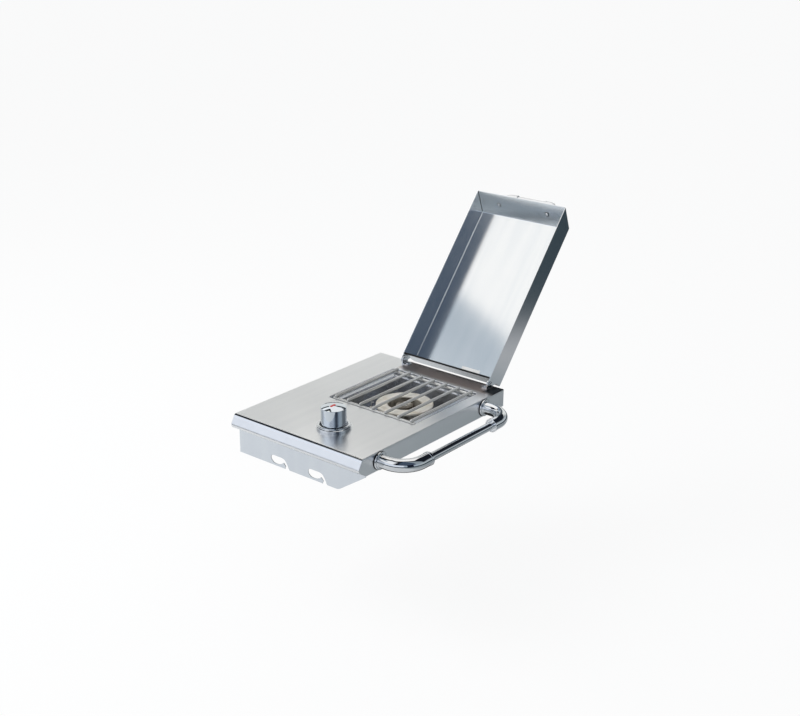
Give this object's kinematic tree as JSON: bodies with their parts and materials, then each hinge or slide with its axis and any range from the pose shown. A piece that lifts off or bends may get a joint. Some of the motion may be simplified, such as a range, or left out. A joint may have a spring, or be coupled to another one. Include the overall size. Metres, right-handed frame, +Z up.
{
  "type": "outdoor side burner",
  "caption": "Gas side burner on a folded steel shelf, with a pan and lift-off wire grate, push-and-turn knob, hinged lid with a bar handle, and a tubular towel bar.",
  "frame": {"origin": "middle of the mounting hole pattern, on the outer face of the left skirt", "axes": "+X from the grill side to the towel bar side, +Y from the front to the rear, +Z up"},
  "size_m": [0.4003, 0.7255, 0.4097],
  "materials": {
    "panel_steel": "satin, brushed front to rear",
    "lid_steel": "satin, brushed",
    "pan_steel": "dull pressed sheet",
    "rod_steel": "satin wire",
    "bright_chrome": "mirror bright",
    "burner_metal": "rough cast",
    "cap_metal": "matt, warm grey",
    "brass": "turned",
    "valve_metal": "die cast",
    "zinc_plate": "plated",
    "black_plastic": "matt",
    "black_rubber": "matt",
    "ceramic": "glazed",
    "red_paint": "gloss",
    "white_label": "matt"
  },
  "bodies": {
    "shelf": {"top_panel": "panel_steel", "front_plate": "panel_steel", "burner_pan": "pan_steel", "burner_body": "burner_metal", "burner_cap": "cap_metal", "burner_screw": "zinc_plate", "burner_nut": "zinc_plate", "burner_strap": "zinc_plate", "gas_jet": "brass", "valve_body": "valve_metal", "valve_screws": "zinc_plate", "valve_nuts": "zinc_plate", "inlet_fitting": "brass", "knob_bezel": "bright_chrome", "igniter_module": "black_plastic", "ignition_lead": "black_rubber", "electrode_ceramic": "ceramic", "electrode_wire": "zinc_plate", "electrode_holder": "zinc_plate", "lead_clip": "zinc_plate", "hinge_bracket_left": "zinc_plate", "hinge_bracket_right": "zinc_plate", "hinge_pins": "zinc_plate", "hinge_washers": "black_plastic", "bracket_rivets": "zinc_plate", "bar_elbow_front": "bright_chrome", "bar_elbow_rear": "bright_chrome", "towel_bar": "bright_chrome", "bar_gaskets": "black_rubber", "bar_bolts": "zinc_plate"},
    "lid": {"lid": "lid_steel", "lid_handle_elbows": "bright_chrome", "lid_handle_bar": "bright_chrome", "lid_handle_screws": "zinc_plate", "lid_label": "white_label"},
    "grate": {"grate_rods": "rod_steel", "grate_crossbars": "rod_steel"},
    "plunger": {"valve_plunger": "zinc_plate"},
    "knob": {"knob": "bright_chrome", "knob_pointer": "red_paint", "valve_stem": "brass"},
    "shutter": {"air_shutter": "zinc_plate"}
  },
  "joints": [
    {"name": "lid_hinge", "type": "hinge", "parent": "shelf", "child": "lid", "pos_m": [0.1895, 0.2, 0.02775], "axis": [1, 0, 0], "range_deg": [0, 129.7]},
    {"name": "grate_lift", "type": "slide", "parent": "shelf", "child": "grate", "axis": [0, 0, 1], "range_m": [0, 0.025]},
    {"name": "knob_push", "type": "slide", "parent": "shelf", "child": "plunger", "axis": [0, 0, -1], "range_m": [0, 0.003], "stiffness_N_per_m": 1500, "springref_m": -0.003},
    {"name": "knob_turn", "type": "hinge", "parent": "plunger", "child": "knob", "pos_m": [0.19, -0.144, 0.03], "axis": [0, 0, 1], "range_deg": [0, 225]},
    {"name": "shutter_turn", "type": "hinge", "parent": "shelf", "child": "shutter", "pos_m": [0.18965, -0.078, -0.01875], "axis": [0, 1, 0], "range_deg": [-25, 25]}
  ]
}
